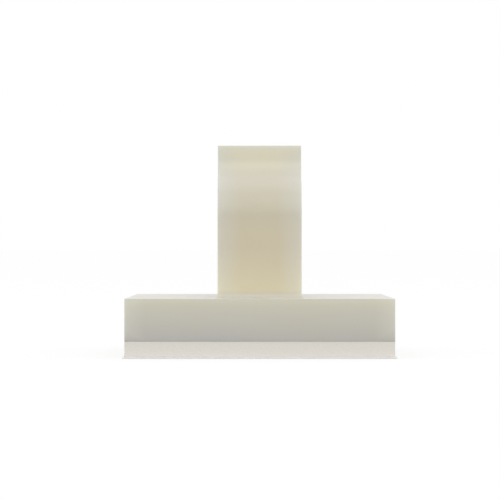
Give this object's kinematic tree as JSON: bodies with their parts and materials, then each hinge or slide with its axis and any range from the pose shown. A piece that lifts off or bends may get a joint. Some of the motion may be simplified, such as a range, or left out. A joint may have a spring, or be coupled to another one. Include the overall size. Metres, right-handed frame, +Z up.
{
  "type": "adhesive wire saddle",
  "caption": "Stick-on wire saddle: a square foam-backed nylon base carries an open loop whose curled lips let wires be pressed in from above and hold them.",
  "frame": {"origin": "centre of the release liner's underside, the face that the part rests on", "axes": "+X along the wires, +Y across the loop from leg to leg, +Z up through the loop's slit"},
  "size_m": [0.0194, 0.0194, 0.0152],
  "materials": {
    "nylon": "natural nylon 6/6 as moulded, cream and slightly translucent, satin",
    "foam": "off-white closed-cell foam tape, matt cut edges",
    "liner": "white release liner, smooth"
  },
  "bodies": {
    "root": {"saddle": "nylon", "foam_pad": "foam", "release_liner": "liner"}
  },
  "joints": []
}
